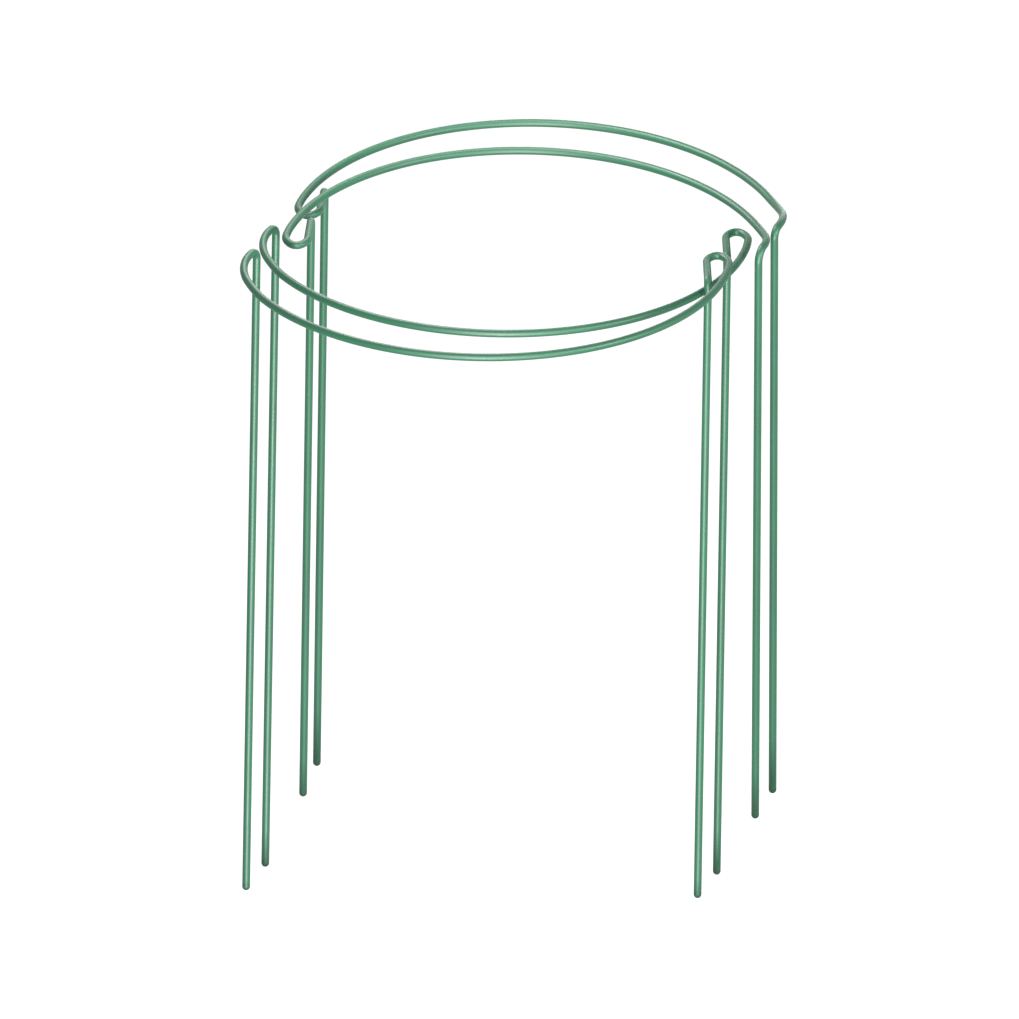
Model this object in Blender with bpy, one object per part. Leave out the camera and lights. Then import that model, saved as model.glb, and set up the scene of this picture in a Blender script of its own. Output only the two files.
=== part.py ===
# Four half-round wire supports for a tall plant, in two nested pairs that face each other.
# Each support is one bent steel wire in a green plastic coat: a half ring with two long legs.
# One end of the half ring is bent back on itself into an open eye before it turns down into
# its leg. The other end swings inwards in one easy bend and turns down into its leg.
# Metres, +Z up, Z = 0 at the surface of the soil that the legs are pushed into.
import math

import bpy
from mathutils import Matrix, Vector

# Wire
COAT_DIAMETER = 0.0048
CORE_DIAMETER = 0.0032
FIT_GAP = 0.0003

# Half ring, measured on the wire's centre line
RING_RADIUS = 0.1496
EYE_SIDE_SWEEP = math.radians(79.2)

# Open eye at one end of the half ring: a teardrop with an easy curve into its nose and out of it
EYE_LEAD_RADIUS = 0.094
EYE_LEAD_TURN = math.radians(8.0)
EYE_ENTRY_RADIUS = 0.0134
EYE_ENTRY_TURN = math.radians(47.8)
EYE_NOSE_RADIUS = 0.0043
EYE_NOSE_TURN = math.radians(85.4)
EYE_EXIT_RADIUS = 0.0105
EYE_EXIT_TURN = math.radians(51.6)
EYE_RETURN_LENGTH = 0.0222

# Plain bend at the other end, which rises a little from here on before it turns down
PLAIN_RISE_START = math.radians(60.0)

# Bend into the eye leg, and the legs
EYE_ELBOW_RADIUS = 0.0052
EYE_LEG_LENGTH = 0.3993
PLAIN_LEG_LENGTH = 0.4043
EYE_LEG_RAKE = math.radians(2.9)
PLAIN_LEG_RAKE = math.radians(6.6)

# Sealed leg tips: a bead with a round nose and a spigot in the coat's bore
TIP_BEAD_LENGTH = 0.0045
TIP_SPIGOT_LENGTH = 0.0015

# Facets
ARC_STEP = math.radians(7.0)
TIGHT_BEND_STEP = math.radians(20.0)
COAT_SIDES = 10
CORE_SIDES = 8
NOSE_RINGS = 3
SHARP_EDGE = math.radians(50.0)

# Where each support stands: centre of its half ring from the plant's stem in ring radii, how
# deep the deeper of its two legs is pushed in, the way it faces, how far it has been pushed
# over, and how far its springy wire has opened. These are bent by hand, so each plain end is
# a little different: where it leaves the half ring, its easy bend, its rise and its elbow
SUPPORTS = {
    "front_near": {
        "centre": (-0.1330, -0.1257),
        "depth": 0.0948,
        "facing": math.radians(-0.2),
        "tilt": math.radians(-0.55),
        "lean": math.radians(0.9),
        "sprung": 0.0015,
        "plain_sweep": math.radians(68.8),
        "plain_radius": 0.0387,
        "plain_turn": math.radians(50.6),
        "plain_rise": 0.0055,
        "plain_elbow": 0.0052,
    },
    "front_far": {
        "centre": (-0.0555, 0.2286),
        "depth": 0.1049,
        "facing": math.radians(-0.2),
        "tilt": math.radians(-0.6),
        "lean": math.radians(0.9),
        "sprung": 0.0015,
        "plain_sweep": math.radians(68.8),
        "plain_radius": 0.0387,
        "plain_turn": math.radians(50.6),
        "plain_rise": 0.0055,
        "plain_elbow": 0.0052,
    },
    "back_near": {
        "centre": (0.0528, -0.2259),
        "depth": 0.1017,
        "facing": math.radians(173.4),
        "tilt": math.radians(1.1),
        "lean": math.radians(1.05),
        "sprung": 0.0000,
        "plain_sweep": math.radians(67.3),
        "plain_radius": 0.0243,
        "plain_turn": math.radians(37.4),
        "plain_rise": 0.0015,
        "plain_elbow": 0.0073,
    },
    "back_far": {
        "centre": (0.1016, 0.1370),
        "depth": 0.1037,
        "facing": math.radians(171.9),
        "tilt": math.radians(1.25),
        "lean": math.radians(1.1),
        "sprung": 0.0007,
        "plain_sweep": math.radians(68.6),
        "plain_radius": 0.0452,
        "plain_turn": math.radians(34.6),
        "plain_rise": 0.0063,
        "plain_elbow": 0.0052,
    },
}

UP = Vector((0.0, 0.0, 1.0))
CORE_RADIUS = CORE_DIAMETER / 2
COAT_RADIUS = COAT_DIAMETER / 2
BORE_RADIUS = CORE_RADIUS + FIT_GAP


def clear_scene():
    for thing in list(bpy.data.objects):
        bpy.data.objects.remove(thing, do_unlink=True)


def finish(name, colour, metallic, roughness):
    """A plain Principled material."""
    material = bpy.data.materials.new(name)
    material.use_nodes = True
    shader = material.node_tree.nodes["Principled BSDF"]
    shader.inputs["Base Color"].default_value = (*colour, 1.0)
    shader.inputs["Metallic"].default_value = metallic
    shader.inputs["Roughness"].default_value = roughness
    return material


def bend(points, heading, axis, radius, angle, step):
    """Feeds wire round a bend of this radius, and returns the way it then points."""
    start = points[-1]
    centre = start + radius * axis.cross(heading)
    count = max(2, math.ceil(angle / step))
    for index in range(1, count + 1):
        turn = Matrix.Rotation(angle * index / count, 3, axis)
        points.append(centre + turn @ (start - centre))
    return Matrix.Rotation(angle, 3, axis) @ heading


def turn_down(points, heading, leg, radius):
    """Bends the wire from its heading to the way that its leg points."""
    axis = heading.cross(leg).normalized()
    angle = heading.angle(leg)
    return bend(points, heading, axis, radius, angle, TIGHT_BEND_STEP)


def leg_direction(rake):
    """Down, and drawn in under the half ring by the rake."""
    return Vector((0.0, -math.sin(rake), -math.cos(rake)))


def eye_half(ring_radius):
    """Centre line from the middle of the half ring, round the eye and down to the leg's tip."""
    points = [Vector((0.0, -ring_radius, 0.0))]
    heading = Vector((1.0, 0.0, 0.0))
    heading = bend(points, heading, UP, ring_radius, EYE_SIDE_SWEEP, ARC_STEP)
    heading = bend(points, heading, UP, EYE_LEAD_RADIUS, EYE_LEAD_TURN, ARC_STEP)
    heading = bend(points, heading, UP, EYE_ENTRY_RADIUS, EYE_ENTRY_TURN, TIGHT_BEND_STEP)
    heading = bend(points, heading, UP, EYE_NOSE_RADIUS, EYE_NOSE_TURN, TIGHT_BEND_STEP)
    heading = bend(points, heading, UP, EYE_EXIT_RADIUS, EYE_EXIT_TURN, TIGHT_BEND_STEP)
    points.append(points[-1] + EYE_RETURN_LENGTH * heading)
    heading = turn_down(points, heading, leg_direction(EYE_LEG_RAKE), EYE_ELBOW_RADIUS)
    points.append(points[-1] + EYE_LEG_LENGTH * heading)
    return points


def rise(points, first, height):
    """Lifts the end of a flat run of wire smoothly, from the point with this index."""
    run = [0.0]
    for before, after in zip(points[first:], points[first + 1:]):
        run.append(run[-1] + (after - before).length)
    for point, gone in zip(points[first:], run):
        share = gone / run[-1]
        point.z += height * share * share * (3.0 - 2.0 * share)


def plain_half(ring_radius, place):
    """Centre line from the middle of the half ring, round the plain bend and down to the tip."""
    points = [Vector((0.0, -ring_radius, 0.0))]
    heading = Vector((-1.0, 0.0, 0.0))
    sweep = place["plain_sweep"]
    heading = bend(points, heading, -UP, ring_radius, sweep, ARC_STEP)
    heading = bend(points, heading, -UP, place["plain_radius"], place["plain_turn"], ARC_STEP)
    ring_points = math.ceil(sweep / ARC_STEP)
    rise(points, round(ring_points * PLAIN_RISE_START / sweep), place["plain_rise"])
    heading = turn_down(points, heading, leg_direction(PLAIN_LEG_RAKE), place["plain_elbow"])
    points.append(points[-1] + PLAIN_LEG_LENGTH * heading)
    return points


def wire_path(place):
    """Centre line of one support from the plain leg's tip to the eye leg's tip."""
    ring_radius = RING_RADIUS + place["sprung"]
    return plain_half(ring_radius, place)[:0:-1] + eye_half(ring_radius)


def shortened(path, length):
    """The path with this much taken off each end."""
    inner = list(path)
    inner[0] = path[0] + length * (path[1] - path[0]).normalized()
    inner[-1] = path[-1] + length * (path[-2] - path[-1]).normalized()
    return inner


def section_frames(path):
    """Two axes across the wire at each point, carried along with no twist."""
    tangents = []
    for index in range(len(path)):
        before = path[max(index - 1, 0)]
        after = path[min(index + 1, len(path) - 1)]
        into = (path[index] - before).normalized()
        out = (after - path[index]).normalized()
        tangents.append((into + out).normalized())
    across = tangents[0].cross(Vector((0.0, 1.0, 0.0))).normalized()
    frames = [(across, tangents[0].cross(across))]
    for before, tangent in zip(tangents, tangents[1:]):
        across = before.rotation_difference(tangent) @ across
        frames.append((across, tangent.cross(across)))
    return frames


def sweep(path, radius, sides):
    """Rings of points round the path."""
    rings = []
    for point, (across, along) in zip(path, section_frames(path)):
        ring = []
        for side in range(sides):
            angle = 2.0 * math.pi * side / sides
            ring.append(point + radius * (math.cos(angle) * across + math.sin(angle) * along))
        rings.append(ring)
    return rings


def skin(rings, vertices, faces, inwards=False):
    """Adds the rings and the walls between them, and returns where each ring's points start."""
    starts = []
    for ring in rings:
        starts.append(len(vertices))
        vertices.extend(ring)
    sides = len(rings[0])
    for low, high in zip(starts, starts[1:]):
        for side in range(sides):
            after = (side + 1) % sides
            face = [low + side, low + after, high + after, high + side]
            faces.append(face[::-1] if inwards else face)
    return starts


def make_object(name, vertices, faces, material, parent):
    mesh = bpy.data.meshes.new(name)
    mesh.from_pydata(vertices, [], faces)
    mesh.materials.append(material)
    mesh.shade_smooth()
    mesh.set_sharp_from_angle(angle=SHARP_EDGE)
    mesh.update()
    piece = bpy.data.objects.new(name, mesh)
    piece.parent = parent
    bpy.context.scene.collection.objects.link(piece)
    return piece


def steel_core(name, path, material, parent):
    """The bare steel wire, which stops short of the tip seals' spigots."""
    short = TIP_BEAD_LENGTH + TIP_SPIGOT_LENGTH + FIT_GAP
    rings = sweep(shortened(path, short), CORE_RADIUS, CORE_SIDES)
    vertices = []
    faces = []
    starts = skin(rings, vertices, faces)
    faces.append([starts[0] + side for side in reversed(range(CORE_SIDES))])
    faces.append([starts[-1] + side for side in range(CORE_SIDES)])
    return make_object(name, vertices, faces, material, parent)


def end_wall(outer, bore, flip, faces):
    """Joins the outer rim of a tube's end to its bore, whose side counts differ."""
    outer_at = 0
    bore_at = 0
    while outer_at < COAT_SIDES or bore_at < CORE_SIDES:
        outer_next = outer[(outer_at + 1) % COAT_SIDES]
        bore_next = bore[(bore_at + 1) % CORE_SIDES]
        here = outer[outer_at % COAT_SIDES]
        inside = bore[bore_at % CORE_SIDES]
        if (outer_at + 1) * CORE_SIDES <= (bore_at + 1) * COAT_SIDES:
            face = [here, inside, outer_next]
            outer_at += 1
        else:
            face = [here, inside, bore_next]
            bore_at += 1
        faces.append(face[::-1] if flip else face)


def plastic_coat(name, path, material, parent):
    """The coat: a tube round the core from one tip seal to the other, open at both ends."""
    run = shortened(path, TIP_BEAD_LENGTH + FIT_GAP)
    vertices = []
    faces = []
    outer = skin(sweep(run, COAT_RADIUS, COAT_SIDES), vertices, faces)
    bore = skin(sweep(run, BORE_RADIUS, CORE_SIDES), vertices, faces, inwards=True)
    for end, flip in ((0, False), (-1, True)):
        outer_rim = [outer[end] + side for side in range(COAT_SIDES)]
        bore_rim = [bore[end] + side for side in range(CORE_SIDES)]
        end_wall(outer_rim, bore_rim, flip, faces)
    return make_object(name, vertices, faces, material, parent)


def tip_profile():
    """Radius and distance up from the tip's nose, from the nose to the end of the spigot."""
    profile = []
    for index in range(1, NOSE_RINGS + 1):
        angle = 0.5 * math.pi * index / NOSE_RINGS
        profile.append((COAT_RADIUS * math.sin(angle), COAT_RADIUS * (1.0 - math.cos(angle))))
    profile.append((COAT_RADIUS, TIP_BEAD_LENGTH))
    profile.append((CORE_RADIUS, TIP_BEAD_LENGTH))
    profile.append((CORE_RADIUS, TIP_BEAD_LENGTH + TIP_SPIGOT_LENGTH))
    return profile


def tip_seal(name, tip, upwards, material, parent):
    """The bead that closes the end of the coat, turned about the leg's centre line."""
    across = upwards.cross(Vector((0.0, 1.0, 0.0))).normalized()
    along = upwards.cross(across)
    rings = []
    for radius, height in tip_profile():
        ring = []
        for side in range(COAT_SIDES):
            angle = 2.0 * math.pi * side / COAT_SIDES
            out = math.cos(angle) * across + math.sin(angle) * along
            ring.append(tip + height * upwards + radius * out)
        rings.append(ring)
    vertices = []
    faces = []
    starts = skin(rings, vertices, faces)
    nose = len(vertices)
    vertices.append(tip)
    for side in range(COAT_SIDES):
        faces.append([starts[0] + (side + 1) % COAT_SIDES, starts[0] + side, nose])
    faces.append([starts[-1] + side for side in range(COAT_SIDES)])
    return make_object(name, vertices, faces, material, parent)


def support_matrix(place, path):
    """Stands a support where it belongs, with its deeper tip at its depth in the soil."""
    turn = (
        Matrix.Rotation(place["lean"], 4, "Y")
        @ Matrix.Rotation(place["tilt"], 4, "X")
        @ Matrix.Rotation(place["facing"], 4, "Z")
    )
    lowest = min((turn @ point).z for point in (path[0], path[-1]))
    across, back = place["centre"]
    stand = Vector((across * RING_RADIUS, back * RING_RADIUS, -place["depth"] - lowest))
    return Matrix.Translation(stand) @ turn


def build_support(name, place, materials):
    path = wire_path(place)
    frame = bpy.data.objects.new(name + "_frame", None)
    frame.empty_display_size = RING_RADIUS
    frame.matrix_world = support_matrix(place, path)
    bpy.context.scene.collection.objects.link(frame)
    steel_core(name + "_steel_core", path, materials["steel"], frame)
    plastic_coat(name + "_green_coat", path, materials["coat"], frame)
    plain_up = (path[1] - path[0]).normalized()
    eye_up = (path[-2] - path[-1]).normalized()
    tip_seal(name + "_plain_leg_tip", path[0], plain_up, materials["tip"], frame)
    tip_seal(name + "_eye_leg_tip", path[-1], eye_up, materials["tip"], frame)


def main():
    clear_scene()
    materials = {
        "steel": finish("bright_steel", (0.56, 0.57, 0.58), 1.0, 0.35),
        "coat": finish("green_plastic_coat", (0.020, 0.260, 0.120), 0.0, 0.38),
        "tip": finish("dark_green_tip", (0.012, 0.160, 0.075), 0.0, 0.42),
    }
    for name, place in SUPPORTS.items():
        build_support(name, place, materials)


main()
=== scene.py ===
import math

import bpy
from mathutils import Matrix, Vector

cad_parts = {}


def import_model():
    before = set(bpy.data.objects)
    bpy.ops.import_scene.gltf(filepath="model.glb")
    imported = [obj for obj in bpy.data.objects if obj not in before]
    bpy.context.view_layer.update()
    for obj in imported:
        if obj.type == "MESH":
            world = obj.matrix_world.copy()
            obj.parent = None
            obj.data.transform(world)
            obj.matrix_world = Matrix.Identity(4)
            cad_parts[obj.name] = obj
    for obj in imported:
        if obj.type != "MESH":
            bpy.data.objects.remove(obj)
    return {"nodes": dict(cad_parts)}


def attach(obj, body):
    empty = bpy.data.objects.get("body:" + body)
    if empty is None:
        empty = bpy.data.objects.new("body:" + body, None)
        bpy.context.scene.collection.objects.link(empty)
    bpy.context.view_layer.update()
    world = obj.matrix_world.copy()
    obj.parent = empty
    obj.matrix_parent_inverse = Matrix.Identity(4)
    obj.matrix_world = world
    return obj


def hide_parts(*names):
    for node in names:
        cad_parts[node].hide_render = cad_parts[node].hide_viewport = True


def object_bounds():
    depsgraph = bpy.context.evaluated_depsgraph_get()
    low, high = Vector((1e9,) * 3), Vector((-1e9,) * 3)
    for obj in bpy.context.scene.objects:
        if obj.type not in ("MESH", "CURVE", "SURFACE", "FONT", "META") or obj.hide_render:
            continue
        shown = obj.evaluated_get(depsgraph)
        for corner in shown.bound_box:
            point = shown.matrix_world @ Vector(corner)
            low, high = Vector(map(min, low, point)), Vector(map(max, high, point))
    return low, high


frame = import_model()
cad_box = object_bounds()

# Wire
COAT_RADIUS = 0.0024
CORE_RADIUS = 0.0016
BORE_RADIUS = 0.0019

# Half ring, measured on the wire's centre line
RING_RADIUS = 0.1496
EYE_SIDE_SWEEP = math.radians(79.2)

# Open eye at one end of the half ring: a teardrop with an easy curve into its nose and out of it
EYE_LEAD_RADIUS = 0.094
EYE_LEAD_TURN = math.radians(8.0)
EYE_ENTRY_RADIUS = 0.0134
EYE_ENTRY_TURN = math.radians(47.8)
EYE_NOSE_RADIUS = 0.0043
EYE_NOSE_TURN = math.radians(85.4)
EYE_EXIT_RADIUS = 0.0105
EYE_EXIT_TURN = math.radians(51.6)
EYE_RETURN_LENGTH = 0.0222

# Plain bend at the other end, which rises a little from here on before it turns down
PLAIN_RISE_START = math.radians(60.0)

# Bend into the eye leg, and the legs
EYE_ELBOW_RADIUS = 0.0052
EYE_LEG_LENGTH = 0.3993
PLAIN_LEG_LENGTH = 0.4043
EYE_LEG_RAKE = math.radians(2.9)
PLAIN_LEG_RAKE = math.radians(6.6)

# Sealed leg tips
TIP_BEAD_LENGTH = 0.0045
TIP_SPIGOT_LENGTH = 0.0015
SEAM_WIDTH = 0.00006
EDGE_ROUNDING = 0.00012
ROUNDING_MIDPOINT = (0.3, 0.7)

# Where each support stands: centre of its half ring and depth of its lower tip in metres, the way
# it faces and how far it has been pushed back and sideways in degrees, and how far it has sprung open
SUPPORTS = {
    "front_near": {
        "centre": (-0.0199, -0.0188), "depth": 0.0948,
        "facing": -0.2, "tilt": -0.55, "lean": 0.9, "sprung": 0.0015,
    },
    "front_far": {
        "centre": (-0.0083, 0.0342), "depth": 0.1049,
        "facing": -0.2, "tilt": -0.6, "lean": 0.9, "sprung": 0.0015,
    },
    "back_near": {
        "centre": (0.0079, -0.0338), "depth": 0.1017,
        "facing": 173.4, "tilt": 1.1, "lean": 1.05, "sprung": 0.0,
    },
    "back_far": {
        "centre": (0.0152, 0.0205), "depth": 0.1037,
        "facing": 171.9, "tilt": 1.25, "lean": 1.1, "sprung": 0.0007,
    },
}

# Each plain end, bent by hand: half ring and bend in degrees, bend radius, rise and elbow radius
PLAIN_ENDS = {
    "front_near": {"sweep": 68.8, "radius": 0.0387, "turn": 50.6, "rise": 0.0055, "elbow": 0.0052},
    "front_far": {"sweep": 68.8, "radius": 0.0387, "turn": 50.6, "rise": 0.0055, "elbow": 0.0052},
    "back_near": {"sweep": 67.3, "radius": 0.0243, "turn": 37.4, "rise": 0.0015, "elbow": 0.0073},
    "back_far": {"sweep": 68.6, "radius": 0.0452, "turn": 34.6, "rise": 0.0063, "elbow": 0.0052},
}

# Fineness of the dressed wire
RING_STEP = math.radians(1.5)
TIGHT_STEP = math.radians(5.0)
LEG_STEP = 0.005
COAT_SIDES = 28
BORE_SIDES = COAT_SIDES // 2
NOSE_RINGS = 9
SHARP_ANGLE = math.radians(50.0)
BEND_SOFTENING_ROUNDS = 3

# How a bend draws the coat: flatter in the plane of the bend and wider across it
BEND_FLATTENING = 0.055
BEND_WIDENING = 0.020
FULL_BEND_RADIUS = 0.006

# Plastic: how fast its noise varies across and along the straight wire, per metre
DRIFT_RATE = (60.0, 60.0, 9.0)
STREAK_RATE = (2600.0, 2600.0, 34.0)
GRAIN_RATE = (900.0, 900.0, 160.0)
STREAK_SHARE = 0.35
TONE_LOW = 0.36
TONE_HIGH = 0.64
PLASTIC_BUMP = 0.12
PLASTIC_BUMP_HEIGHT = 0.00006
PLASTIC_IOR = 1.5
COAT_COLOURS = ((0.0030, 0.046, 0.0205), (0.0045, 0.062, 0.0280))
COAT_ROUGHNESS = (0.44, 0.54)
TIP_COLOURS = ((0.0024, 0.036, 0.0160), (0.0036, 0.048, 0.0220))
TIP_ROUGHNESS = (0.46, 0.56)

# Drawn steel
DRAW_LINE_RATE = (1800.0, 1800.0, 40.0)
STEEL_LOW = 0.35
STEEL_HIGH = 0.65
STEEL_COLOURS = ((0.48, 0.49, 0.50), (0.62, 0.63, 0.64))
STEEL_ROUGHNESS = (0.26, 0.42)
STEEL_BUMP = 0.2
STEEL_BUMP_HEIGHT = 0.00003

# Noise: the part of its range that is spread over a range of gloss, and its own roughness
NOISE_LOW = 0.3
NOISE_HIGH = 0.7
NOISE_ROUGHNESS = 0.55

# Floor: it ends just in front of the feet, so that the low lamp beyond it can shine up past it
FLOOR_SIZE = 1.6
FLOOR_FRONT = -0.30
FLOOR_GAP = 0.001
FLOOR_GREY = 0.25
FLOOR_GLOW = 0.80

# Surround: its light on the part, and its white where it is seen
SURROUND_LIGHT = 0.28
SURROUND_WHITE = 1.0

# Lamps, from in front and below, in front, the right, behind, and close over the back bows
MIDDLE = (0.0, 0.0, 0.1)
BACK_BOWS = (0.06, 0.16, 0.31)
LAMPS = {
    "low": {"place": (0.05, -2.2, -0.25), "target": MIDDLE, "size": (0.7, 0.16), "watts": 104.0},
    "key": {"place": (0.0, -1.8, 0.95), "target": MIDDLE, "size": (0.7, 0.35), "watts": 50.0},
    "side": {"place": (1.5, -1.05, 0.92), "target": MIDDLE, "size": (0.6, 0.5), "watts": 44.0},
    "fill": {"place": (0.3, 2.2, 0.35), "target": MIDDLE, "size": (1.2, 0.8), "watts": 16.0},
    "rim": {"place": (-0.09, 0.17, 0.60), "target": BACK_BOWS, "size": (0.2, 0.2), "watts": 3.0},
}

# The photograph's frame: metres per pixel, angle above the horizon, and the point it looks at
PIXEL_SIZE = 0.605e-3
FRAME_PIXELS = 1019
CAMERA_ELEVATION = math.radians(26.2)
FRAME_CENTRE = Vector((-0.0027, 0.0, 0.1257))
CAMERA_DISTANCE = 3.0
CAMERA_REACH = 10.0

UP = Vector((0.0, 0.0, 1.0))


def bend(points, heading, axis, radius, angle, step):
    """Feeds wire round a bend of this radius, and returns the way it then points."""
    start = points[-1]
    centre = start + radius * axis.cross(heading)
    count = max(2, math.ceil(angle / step))
    for index in range(1, count + 1):
        turn = Matrix.Rotation(angle * index / count, 3, axis)
        points.append(centre + turn @ (start - centre))
    return Matrix.Rotation(angle, 3, axis) @ heading


def straight(points, heading, length):
    """Feeds straight wire in short even steps."""
    start = points[-1]
    count = max(1, math.ceil(length / LEG_STEP))
    for index in range(1, count + 1):
        points.append(start + heading * length * index / count)


def turn_down(points, heading, rake, radius):
    """Bends the wire from its heading into its leg, which is drawn in by the rake."""
    leg = Vector((0.0, -math.sin(rake), -math.cos(rake)))
    axis = heading.cross(leg).normalized()
    return bend(points, heading, axis, radius, heading.angle(leg), TIGHT_STEP)


def eye_half(ring_radius):
    """Centre line from the middle of the half ring, round the eye and down to the leg's tip."""
    points = [Vector((0.0, -ring_radius, 0.0))]
    heading = Vector((1.0, 0.0, 0.0))
    heading = bend(points, heading, UP, ring_radius, EYE_SIDE_SWEEP, RING_STEP)
    heading = bend(points, heading, UP, EYE_LEAD_RADIUS, EYE_LEAD_TURN, RING_STEP)
    heading = bend(points, heading, UP, EYE_ENTRY_RADIUS, EYE_ENTRY_TURN, TIGHT_STEP)
    heading = bend(points, heading, UP, EYE_NOSE_RADIUS, EYE_NOSE_TURN, TIGHT_STEP)
    heading = bend(points, heading, UP, EYE_EXIT_RADIUS, EYE_EXIT_TURN, TIGHT_STEP)
    straight(points, heading, EYE_RETURN_LENGTH)
    heading = turn_down(points, heading, EYE_LEG_RAKE, EYE_ELBOW_RADIUS)
    straight(points, heading, EYE_LEG_LENGTH)
    return points


def lift_end(points, first, height):
    """Lifts the end of a flat run of wire smoothly, from the point with this index."""
    run = [0.0]
    for before, after in zip(points[first:], points[first + 1:]):
        run.append(run[-1] + (after - before).length)
    for point, gone in zip(points[first:], run):
        share = gone / run[-1]
        point.z += height * share * share * (3.0 - 2.0 * share)


def plain_half(ring_radius, end):
    """Centre line from the middle of the half ring, round the plain bend and down to the tip."""
    points = [Vector((0.0, -ring_radius, 0.0))]
    heading = Vector((-1.0, 0.0, 0.0))
    sweep = math.radians(end["sweep"])
    heading = bend(points, heading, -UP, ring_radius, sweep, RING_STEP)
    heading = bend(points, heading, -UP, end["radius"], math.radians(end["turn"]), RING_STEP)
    ring_points = math.ceil(sweep / RING_STEP)
    lift_end(points, round(ring_points * PLAIN_RISE_START / sweep), end["rise"])
    heading = turn_down(points, heading, PLAIN_LEG_RAKE, end["elbow"])
    straight(points, heading, PLAIN_LEG_LENGTH)
    return points


def placed_path(name):
    """Centre line of a support where it stands, from the plain leg's tip to the eye leg's."""
    support = SUPPORTS[name]
    ring_radius = RING_RADIUS + support["sprung"]
    path = plain_half(ring_radius, PLAIN_ENDS[name])[:0:-1] + eye_half(ring_radius)
    turn = (
        Matrix.Rotation(math.radians(support["lean"]), 4, "Y")
        @ Matrix.Rotation(math.radians(support["tilt"]), 4, "X")
        @ Matrix.Rotation(math.radians(support["facing"]), 4, "Z")
    )
    lowest = min((turn @ point).z for point in (path[0], path[-1]))
    place = Matrix.Translation((*support["centre"], -support["depth"] - lowest)) @ turn
    return [place @ point for point in path]


def stations(path, cut):
    """Points along the wire with this much cut off each end, and how far along each one is."""
    points = list(path)
    points[0] = path[0] + cut * (path[1] - path[0]).normalized()
    points[-1] = path[-1] + cut * (path[-2] - path[-1]).normalized()
    along = [cut]
    for before, after in zip(points, points[1:]):
        along.append(along[-1] + (after - before).length)
    return points, along


def section_frames(points):
    """Tangent and two axes across the wire at each point, carried along with no twist."""
    tangents = []
    for index in range(len(points)):
        before = points[max(index - 1, 0)]
        after = points[min(index + 1, len(points) - 1)]
        into = (points[index] - before).normalized()
        out = (after - points[index]).normalized()
        tangents.append((into + out).normalized())
    across = tangents[0].cross(Vector((0.0, 1.0, 0.0))).normalized()
    frames = [(tangents[0], across, tangents[0].cross(across))]
    for before, tangent in zip(tangents, tangents[1:]):
        across = before.rotation_difference(tangent) @ across
        frames.append((tangent, across, tangent.cross(across)))
    return frames


def bend_vectors(points, frames):
    """How sharply the wire bends at each point, and towards where, softened along the wire."""
    last = len(points) - 1
    curves = []
    for index in range(len(points)):
        low = max(index - 1, 0)
        high = min(index + 1, last)
        run = (points[high] - points[low]).length
        curves.append((frames[high][0] - frames[low][0]) / run)
    for _ in range(BEND_SOFTENING_ROUNDS):
        curves = [
            (curves[max(index - 1, 0)] + 2.0 * curves[index] + curves[min(index + 1, last)]) / 4.0
            for index in range(len(points))
        ]
    return curves


def drawn_radius(strength, off_bend):
    """The coat's radius in a bend of this strength, at this angle off the plane of the bend."""
    inline = math.cos(off_bend) ** 2
    flattening = BEND_FLATTENING * inline - BEND_WIDENING * (1.0 - inline)
    return COAT_RADIUS * (1.0 - strength * flattening)


def section_angles(sides):
    """Even angles round a section with this many sides."""
    return [2.0 * math.pi * side / sides for side in range(sides)]


def section_ring(centre, across, beside, radii):
    """Points round the wire, at even angles, with one of these radii each."""
    ring = []
    for angle, radius in zip(section_angles(len(radii)), radii):
        ring.append(centre + radius * (math.cos(angle) * across + math.sin(angle) * beside))
    return ring


def unbent_ring(radius, sides, gone):
    """Where the points of a ring lie on the straight wire that the support was bent from."""
    return [(radius * math.cos(angle), radius * math.sin(angle), gone) for angle in section_angles(sides)]


def skin(rings, vertices, faces, inwards=False):
    """Adds rings of points and the walls between them, and returns where each ring starts."""
    starts = []
    for ring in rings:
        starts.append(len(vertices))
        vertices.extend(ring)
    sides = len(rings[0])
    for low, high in zip(starts, starts[1:]):
        for side in range(sides):
            after = (side + 1) % sides
            face = [low + side, low + after, high + after, high + side]
            faces.append(face[::-1] if inwards else face)
    return starts


def end_wall(outer_start, bore_start, flip, faces):
    """Joins the outer rim of a tube's end to its bore, which has half as many points."""
    for side in range(BORE_SIDES):
        here = bore_start + side
        after = bore_start + (side + 1) % BORE_SIDES
        first = outer_start + 2 * side
        middle = outer_start + 2 * side + 1
        last = outer_start + (2 * side + 2) % COAT_SIDES
        for face in ([first, here, middle], [middle, here, after], [middle, after, last]):
            faces.append(face[::-1] if flip else face)


def make_piece(name, vertices, unbent, faces, material, body, node):
    """A mesh piece that stands for a node, rides on its body and knows its unbent shape."""
    mesh = bpy.data.meshes.new(name)
    mesh.from_pydata(vertices, [], faces)
    place = mesh.attributes.new("unbent", "FLOAT_VECTOR", "POINT")
    place.data.foreach_set("vector", [value for point in unbent for value in point])
    mesh.materials.append(material)
    mesh.shade_smooth()
    mesh.set_sharp_from_angle(angle=SHARP_ANGLE)
    mesh.validate()
    piece = bpy.data.objects.new(name, mesh)
    bpy.context.scene.collection.objects.link(piece)
    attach(piece, body)
    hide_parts(node)


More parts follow.
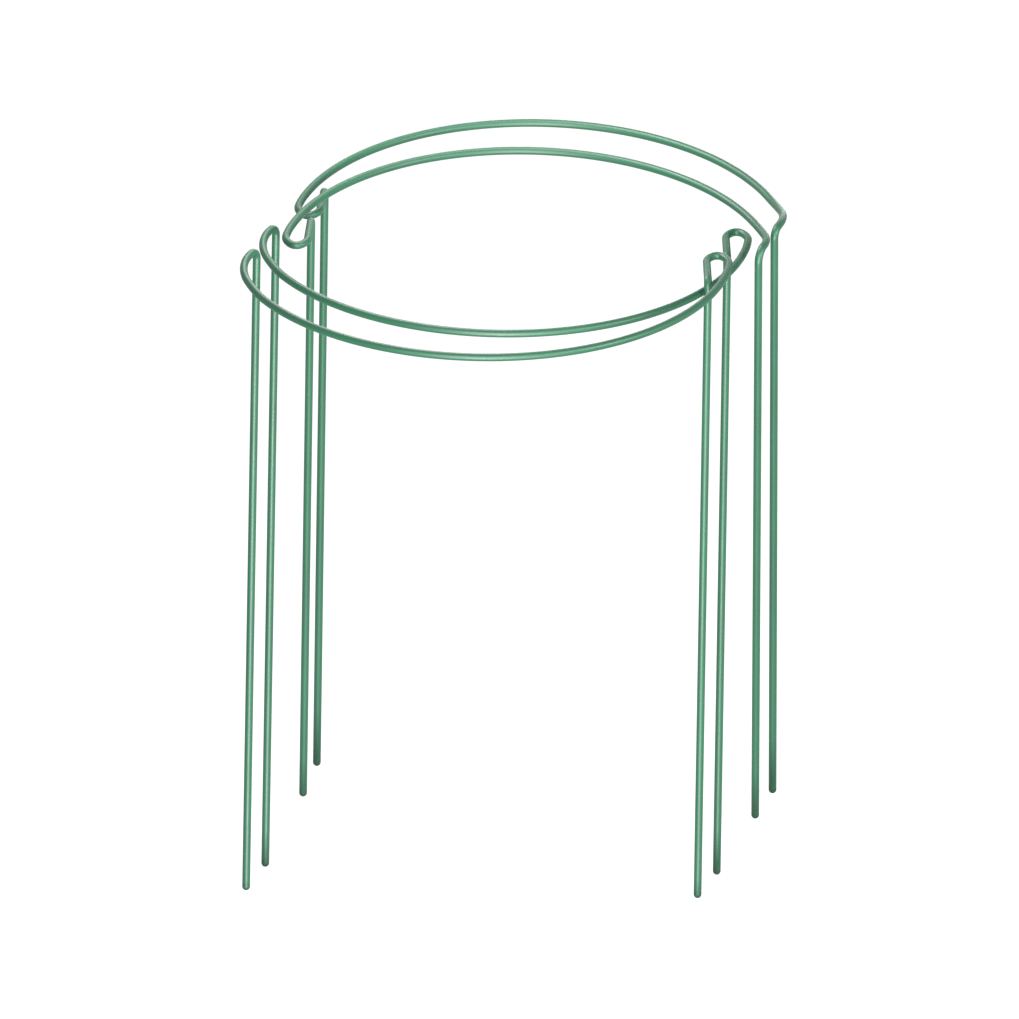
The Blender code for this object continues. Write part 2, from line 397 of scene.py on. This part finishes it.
def coat(name, path, material):
    """The coat's outer skin, drawn flatter in each tight bend, and its bore."""
    points, along = stations(path, TIP_BEAD_LENGTH + SEAM_WIDTH)
    frames = section_frames(points)
    bends = bend_vectors(points, frames)
    outer_rings = []
    bore_rings = []
    outer_unbent = []
    bore_unbent = []
    for point, gone, (_, across, beside), curve in zip(points, along, frames, bends):
        strength = min(1.0, curve.length * FULL_BEND_RADIUS)
        towards = math.atan2(curve.dot(beside), curve.dot(across))
        outer_radii = [drawn_radius(strength, angle - towards) for angle in section_angles(COAT_SIDES)]
        outer_rings.append(section_ring(point, across, beside, outer_radii))
        bore_rings.append(section_ring(point, across, beside, [BORE_RADIUS] * BORE_SIDES))
        outer_unbent.extend(unbent_ring(COAT_RADIUS, COAT_SIDES, gone))
        bore_unbent.extend(unbent_ring(BORE_RADIUS, BORE_SIDES, gone))
    vertices = []
    faces = []
    outer = skin(outer_rings, vertices, faces)
    bore = skin(bore_rings, vertices, faces, inwards=True)
    end_wall(outer[0], bore[0], False, faces)
    end_wall(outer[-1], bore[-1], True, faces)
    make_piece(
        name + "_coat", vertices, outer_unbent + bore_unbent, faces,
        material, name, name + "_green_coat",
    )


def tip_profile():
    """Radius and height of each ring of a tip: round nose, bead, soft shoulder and spigot."""
    profile = []
    for index in range(1, NOSE_RINGS + 1):
        angle = 0.5 * math.pi * index / NOSE_RINGS
        profile.append((COAT_RADIUS * math.sin(angle), COAT_RADIUS * (1.0 - math.cos(angle))))
    shoulder = TIP_BEAD_LENGTH - EDGE_ROUNDING
    inward, upward = ROUNDING_MIDPOINT
    profile.append((COAT_RADIUS, shoulder))
    profile.append((COAT_RADIUS - inward * EDGE_ROUNDING, shoulder + upward * EDGE_ROUNDING))
    profile.append((COAT_RADIUS - EDGE_ROUNDING, TIP_BEAD_LENGTH))
    profile.append((CORE_RADIUS, TIP_BEAD_LENGTH))
    profile.append((CORE_RADIUS, TIP_BEAD_LENGTH + TIP_SPIGOT_LENGTH))
    return profile


def tip(body, nose, upwards, gone, material, node):
    """A sealed tip on the end of a leg, whose spigot stands in the coat's bore."""
    across = upwards.cross(Vector((0.0, 1.0, 0.0))).normalized()
    beside = upwards.cross(across)
    rings = []
    unbent = []
    for radius, height in tip_profile():
        rings.append(section_ring(nose + height * upwards, across, beside, [radius] * COAT_SIDES))
        unbent.extend(unbent_ring(radius, COAT_SIDES, gone + height))
    vertices = []
    faces = []
    starts = skin(rings, vertices, faces)
    end = len(vertices)
    vertices.append(nose)
    unbent.append((0.0, 0.0, gone))
    for side in range(COAT_SIDES):
        faces.append([starts[0] + (side + 1) % COAT_SIDES, starts[0] + side, end])
    faces.append([starts[-1] + side for side in range(COAT_SIDES)])
    make_piece(node + "_bead", vertices, unbent, faces, material, body, node)


def new_material(name):
    """A Principled material, its node tree and its shader."""
    material = bpy.data.materials.new(name)
    material.use_nodes = True
    return material, material.node_tree, material.node_tree.nodes["Principled BSDF"]


def add_node(tree, kind, settings=(), inputs=()):
    """A shader node with these settings and constant inputs."""
    node = tree.nodes.new(kind)
    for key, value in settings:
        setattr(node, key, value)
    for key, value in inputs:
        node.inputs[key].default_value = value
    return node


def unbent_noise(tree, rate, detail):
    """Noise in the wire's unbent shape, which varies at this rate, as a value socket."""
    place = add_node(tree, "ShaderNodeAttribute", [("attribute_name", "unbent")])
    mapping = add_node(tree, "ShaderNodeMapping", inputs=[("Scale", rate)])
    noise = add_node(
        tree, "ShaderNodeTexNoise",
        inputs=[("Scale", 1.0), ("Detail", detail), ("Roughness", NOISE_ROUGHNESS)],
    )
    tree.links.new(place.outputs["Vector"], mapping.inputs["Vector"])
    tree.links.new(mapping.outputs["Vector"], noise.inputs["Vector"])
    return noise.outputs["Fac"]


def ramp(tree, value, low, high, colours):
    """Two colours blended over a range of a value."""
    node = tree.nodes.new("ShaderNodeValToRGB")
    for element, position, colour in zip(node.color_ramp.elements, (low, high), colours):
        element.position = position
        element.color = (*colour, 1.0)
    tree.links.new(value, node.inputs["Fac"])
    return node.outputs["Color"]


def spread(tree, value, low, high):
    """A noise's value spread over the range from low to high."""
    node = add_node(
        tree, "ShaderNodeMapRange",
        inputs=[("From Min", NOISE_LOW), ("From Max", NOISE_HIGH), ("To Min", low), ("To Max", high)],
    )
    tree.links.new(value, node.inputs["Value"])
    return node.outputs["Result"]


def roughen(tree, shader, value, strength, height):
    """A fine relief on the surface, from a value."""
    bump = add_node(tree, "ShaderNodeBump", inputs=[("Strength", strength), ("Distance", height)])
    tree.links.new(value, bump.inputs["Height"])
    tree.links.new(bump.outputs["Normal"], shader.inputs["Normal"])


def plastic(name, colours, roughness):
    """Extruded plastic: long faint streaks, a slow drift of tone and a slightly uneven gloss."""
    material, tree, shader = new_material(name)
    drift = unbent_noise(tree, DRIFT_RATE, 2.0)
    streaks = unbent_noise(tree, STREAK_RATE, 4.0)
    tone = add_node(tree, "ShaderNodeMath", [("operation", "MULTIPLY_ADD")], [(1, STREAK_SHARE)])
    drift_part = add_node(tree, "ShaderNodeMath", [("operation", "MULTIPLY")], [(1, 1.0 - STREAK_SHARE)])
    tree.links.new(streaks, tone.inputs[0])
    tree.links.new(drift, drift_part.inputs[0])
    tree.links.new(drift_part.outputs[0], tone.inputs[2])
    colour = ramp(tree, tone.outputs[0], TONE_LOW, TONE_HIGH, colours)
    tree.links.new(colour, shader.inputs["Base Color"])
    tree.links.new(spread(tree, streaks, *roughness), shader.inputs["Roughness"])
    roughen(tree, shader, unbent_noise(tree, GRAIN_RATE, 3.0), PLASTIC_BUMP, PLASTIC_BUMP_HEIGHT)
    shader.inputs["IOR"].default_value = PLASTIC_IOR
    return material


def drawn_steel():
    """Bright drawn wire with fine lines in the direction of the draw."""
    material, tree, shader = new_material("drawn_steel")
    place = tree.nodes.new("ShaderNodeTexCoord")
    mapping = add_node(tree, "ShaderNodeMapping", inputs=[("Scale", DRAW_LINE_RATE)])
    noise = add_node(tree, "ShaderNodeTexNoise", inputs=[("Scale", 1.0), ("Detail", 4.0)])
    tree.links.new(place.outputs["Object"], mapping.inputs["Vector"])
    tree.links.new(mapping.outputs["Vector"], noise.inputs["Vector"])
    lines = noise.outputs["Fac"]
    colour = ramp(tree, lines, STEEL_LOW, STEEL_HIGH, STEEL_COLOURS)
    tree.links.new(colour, shader.inputs["Base Color"])
    tree.links.new(spread(tree, lines, *STEEL_ROUGHNESS), shader.inputs["Roughness"])
    roughen(tree, shader, lines, STEEL_BUMP, STEEL_BUMP_HEIGHT)
    shader.inputs["Metallic"].default_value = 1.0
    return material


def seen_directly(tree):
    """A value that is 1 for what the camera, a reflection or a clear piece shows."""
    path = tree.nodes.new("ShaderNodeLightPath")
    seen_or_reflected = add_node(tree, "ShaderNodeMath", [("operation", "MAXIMUM")])
    any_of_three = add_node(tree, "ShaderNodeMath", [("operation", "MAXIMUM")])
    tree.links.new(path.outputs["Is Camera Ray"], seen_or_reflected.inputs[0])
    tree.links.new(path.outputs["Is Glossy Ray"], seen_or_reflected.inputs[1])
    tree.links.new(seen_or_reflected.outputs[0], any_of_three.inputs[0])
    tree.links.new(path.outputs["Is Transmission Ray"], any_of_three.inputs[1])
    return any_of_three.outputs[0]


def floor_material():
    """Grey for the light that falls on it, with its own white added where it is seen."""
    material = bpy.data.materials.new("pale_floor")
    material.use_nodes = True
    tree = material.node_tree
    tree.nodes.clear()
    grey = (FLOOR_GREY, FLOOR_GREY, FLOOR_GREY, 1.0)
    matt = add_node(tree, "ShaderNodeBsdfDiffuse", inputs=[("Color", grey)])
    glow = add_node(tree, "ShaderNodeEmission", inputs=[("Color", (1.0, 1.0, 1.0, 1.0))])
    share = add_node(tree, "ShaderNodeMath", [("operation", "MULTIPLY")], [(1, FLOOR_GLOW)])
    both = tree.nodes.new("ShaderNodeAddShader")
    out = tree.nodes.new("ShaderNodeOutputMaterial")
    tree.links.new(seen_directly(tree), share.inputs[0])
    tree.links.new(share.outputs[0], glow.inputs["Strength"])
    tree.links.new(matt.outputs[0], both.inputs[0])
    tree.links.new(glow.outputs[0], both.inputs[1])
    tree.links.new(both.outputs[0], out.inputs["Surface"])
    return material


def floor():
    """A pale floor just under the tips, which takes the shadow."""
    height = cad_box[0][2] - FLOOR_GAP
    corners = [
        (-FLOOR_SIZE, FLOOR_FRONT, height),
        (FLOOR_SIZE, FLOOR_FRONT, height),
        (FLOOR_SIZE, FLOOR_SIZE, height),
        (-FLOOR_SIZE, FLOOR_SIZE, height),
    ]
    mesh = bpy.data.meshes.new("floor")
    mesh.from_pydata(corners, [], [[0, 1, 2, 3]])
    mesh.materials.append(floor_material())
    piece = bpy.data.objects.new("floor", mesh)
    bpy.context.scene.collection.objects.link(piece)


def world():
    """White where it is seen or reflected, and a soft even light elsewhere."""
    surround = bpy.data.worlds.new("studio")
    surround.use_nodes = True
    tree = surround.node_tree
    back = tree.nodes["Background"]
    back.inputs["Color"].default_value = (1.0, 1.0, 1.0, 1.0)
    level = add_node(
        tree, "ShaderNodeMapRange",
        inputs=[
            ("From Min", 0.0), ("From Max", 1.0),
            ("To Min", SURROUND_LIGHT), ("To Max", SURROUND_WHITE),
        ],
    )
    tree.links.new(seen_directly(tree), level.inputs["Value"])
    tree.links.new(level.outputs["Result"], back.inputs["Strength"])
    bpy.context.scene.world = surround


def softbox(name, place, target, size, watts):
    """A rectangular area light that faces the target and isn't seen itself."""
    light = bpy.data.lights.new(name, "AREA")
    light.shape = "RECTANGLE"
    light.size, light.size_y = size
    light.energy = watts
    lamp = bpy.data.objects.new(name, light)
    lamp.location = place
    lamp.rotation_euler = (Vector(target) - Vector(place)).to_track_quat("-Z", "Y").to_euler()
    lamp.visible_camera = False
    bpy.context.scene.collection.objects.link(lamp)


def camera():
    """Looks straight from the front and a little down, with no perspective."""
    lens = bpy.data.cameras.new("camera")
    lens.type = "ORTHO"
    lens.ortho_scale = FRAME_PIXELS * PIXEL_SIZE
    lens.clip_end = CAMERA_REACH
    view = bpy.data.objects.new("camera", lens)
    back = Vector((0.0, -math.cos(CAMERA_ELEVATION), math.sin(CAMERA_ELEVATION)))
    view.location = FRAME_CENTRE + CAMERA_DISTANCE * back
    view.rotation_euler = (math.pi / 2.0 - CAMERA_ELEVATION, 0.0, 0.0)
    bpy.context.scene.collection.objects.link(view)
    bpy.context.scene.camera = view


def dress():
    """Every support's coat, tips and core."""
    green = plastic("green_coat", COAT_COLOURS, COAT_ROUGHNESS)
    dark = plastic("sealed_tip", TIP_COLOURS, TIP_ROUGHNESS)
    steel = drawn_steel()
    for name in SUPPORTS:
        path = placed_path(name)
        coat(name, path, green)
        length = sum((after - before).length for before, after in zip(path, path[1:]))
        plain_up = (path[1] - path[0]).normalized()
        eye_up = (path[-2] - path[-1]).normalized()
        tip(name, path[0], plain_up, 0.0, dark, name + "_plain_leg_tip")
        tip(name, path[-1], eye_up, length, dark, name + "_eye_leg_tip")
        for material_slot in frame["nodes"][name + "_steel_core"].material_slots:
            material_slot.material = steel


def main():
    dress()
    floor()
    world()
    for name, lamp in LAMPS.items():
        softbox(name, lamp["place"], lamp["target"], lamp["size"], lamp["watts"])
    camera()
    bpy.context.scene.view_settings.view_transform = "Standard"


main()
